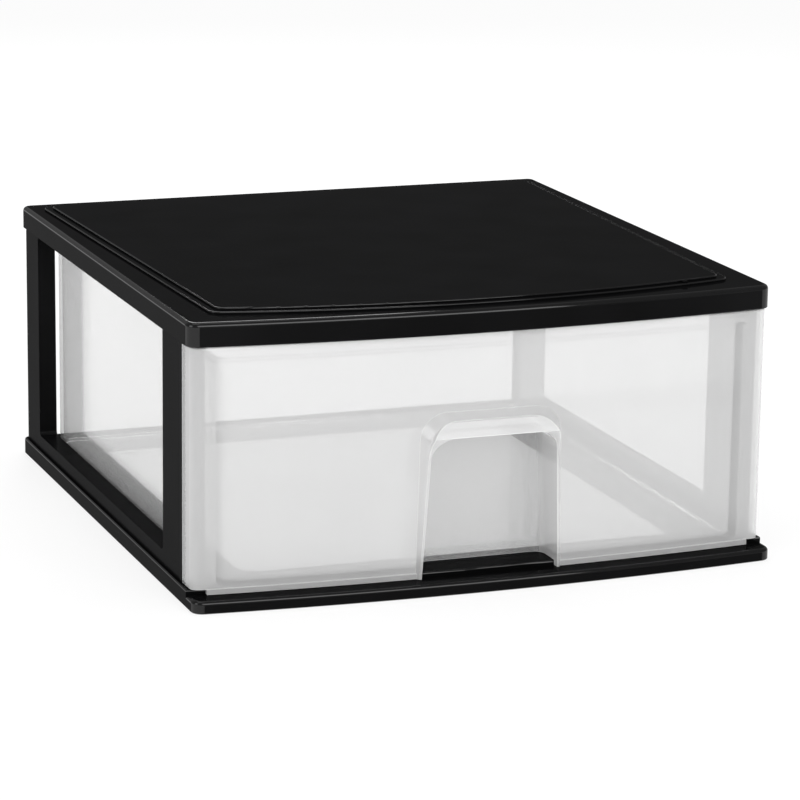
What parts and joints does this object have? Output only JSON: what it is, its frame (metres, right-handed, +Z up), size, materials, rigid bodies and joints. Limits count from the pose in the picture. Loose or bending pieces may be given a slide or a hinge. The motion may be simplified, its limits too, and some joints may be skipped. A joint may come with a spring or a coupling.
{
  "type": "stackable drawer box",
  "caption": "Stackable organizer box: black case with open side windows, bowed stepped cover and base, and a clear sliding drawer with an arch finger pull.",
  "frame": {"origin": "middle of the footprint, on the surface that the box stands on", "axes": "+Z up, the drawer opens towards -Y, +X to the right of someone who faces the drawer"},
  "size_m": [0.383, 0.4159, 0.1789],
  "materials": {
    "black_plastic": "injection moulded, glossy black",
    "clear_plastic": "injection moulded, colourless and slightly milky, glossy"
  },
  "bodies": {
    "case": {"top_cover": "black_plastic", "base": "black_plastic", "left_side_frame": "black_plastic", "right_side_frame": "black_plastic"},
    "drawer": {"drawer": "clear_plastic"}
  },
  "joints": [
    {"name": "drawer_slide", "type": "slide", "parent": "case", "child": "drawer", "axis": [0, -1, 0], "range_m": [0, 0.3]}
  ]
}
